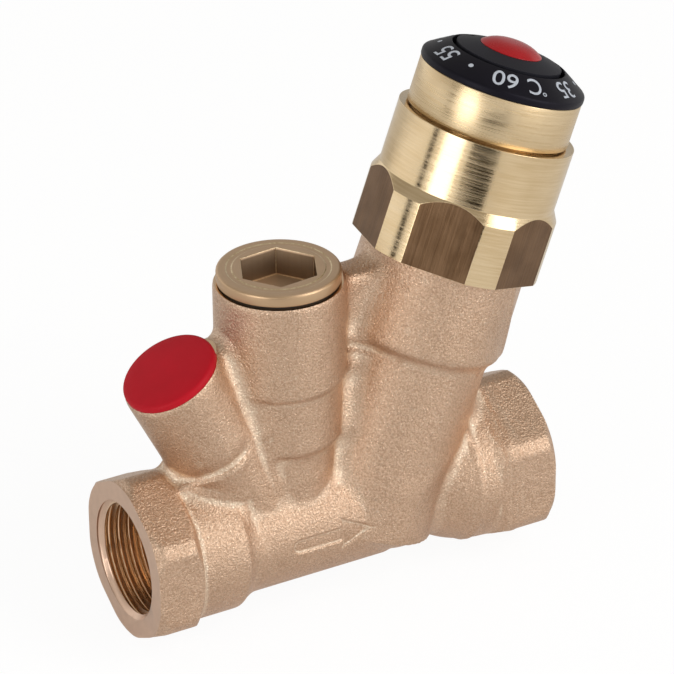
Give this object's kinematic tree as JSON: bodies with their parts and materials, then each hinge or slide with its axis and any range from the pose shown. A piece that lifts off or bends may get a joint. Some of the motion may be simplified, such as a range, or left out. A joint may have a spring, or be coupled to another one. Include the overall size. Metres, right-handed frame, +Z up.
{
  "type": "circulation valve",
  "caption": "Angled temperature-controlled circulation valve with threaded hexagon ports, a leaning brass bonnet with a black scale ring, a socket plug and a red pocket cap.",
  "frame": {"origin": "centre of the inlet port's face", "axes": "+X along the pipe in the flow's direction, +Z up along the plug's axis; the bonnet leans 20 degrees from +Z towards +X"},
  "size_m": [0.0845, 0.032, 0.092],
  "materials": {
    "cast_body": "shot-blasted gunmetal casting",
    "bonnet": "turned, with milled flats",
    "scale_collar": "turned",
    "scale_ring": "black with white scale",
    "pointer_disc": "black",
    "tamper_cap": "glossy red",
    "spindle": "turned",
    "seals": "black rubber",
    "washer": "white low-friction plastic",
    "spring_steel": "spring steel",
    "lift_nut": "turned",
    "thrust_cup": "turned",
    "pin_steel": "polished steel",
    "element_guide": "turned",
    "element_cup": "drawn copper",
    "wax": "wax with copper powder",
    "valve_cone": "turned",
    "bypass_plug": "turned, dull olive brass",
    "port_cap": "matte red"
  },
  "bodies": {
    "valve": {"valve_body": "cast_body", "bonnet": "bonnet", "bonnet_seal": "seals", "scale_collar": "scale_collar", "scale_ring": "scale_ring", "bypass_plug": "bypass_plug", "plug_seal": "seals", "port_cap": "port_cap", "return_spring": "spring_steel"},
    "setting": {"setting_spindle": "spindle", "spindle_seal_lower": "seals", "spindle_seal_upper": "seals", "thrust_washer": "washer", "spindle_clip": "spring_steel", "pointer_disc": "pointer_disc", "tamper_cap": "tamper_cap"},
    "lift": {"lift_nut": "lift_nut", "cup_clip": "spring_steel", "safety_spring": "spring_steel"},
    "cup": {"thrust_cup": "thrust_cup", "element_pin": "pin_steel"},
    "cone": {"valve_cone": "valve_cone", "cone_seal": "seals", "element_cup": "element_cup", "wax_charge": "wax", "element_boot": "seals", "element_guide": "element_guide"}
  },
  "joints": [
    {"name": "setting_turn", "type": "hinge", "parent": "valve", "child": "setting", "pos_m": [0.06807, 0, 0.06202], "axis": [0.342, 0, 0.9397], "range_deg": [-180, 120]},
    {"name": "nut_lift", "type": "slide", "parent": "valve", "child": "lift", "axis": [0.342, 0, 0.9397], "range_m": [-0.00225, 0.0015]},
    {"name": "cup_give", "type": "slide", "parent": "lift", "child": "cup", "axis": [0.342, 0, 0.9397], "range_m": [0, 0.0018], "stiffness_N_per_m": 6000, "springref_m": -0.002, "deforming": ["safety_spring"]},
    {"name": "cone_slide", "type": "slide", "parent": "valve", "child": "cone", "axis": [0.342, 0, 0.9397], "range_m": [-0.003, 0], "stiffness_N_per_m": 1500, "springref_m": 0.002, "deforming": ["return_spring"]}
  ],
  "couplings": [
    {"joint": "setting_turn", "follows": "nut_lift", "rad_per_m": 1396.3}
  ]
}
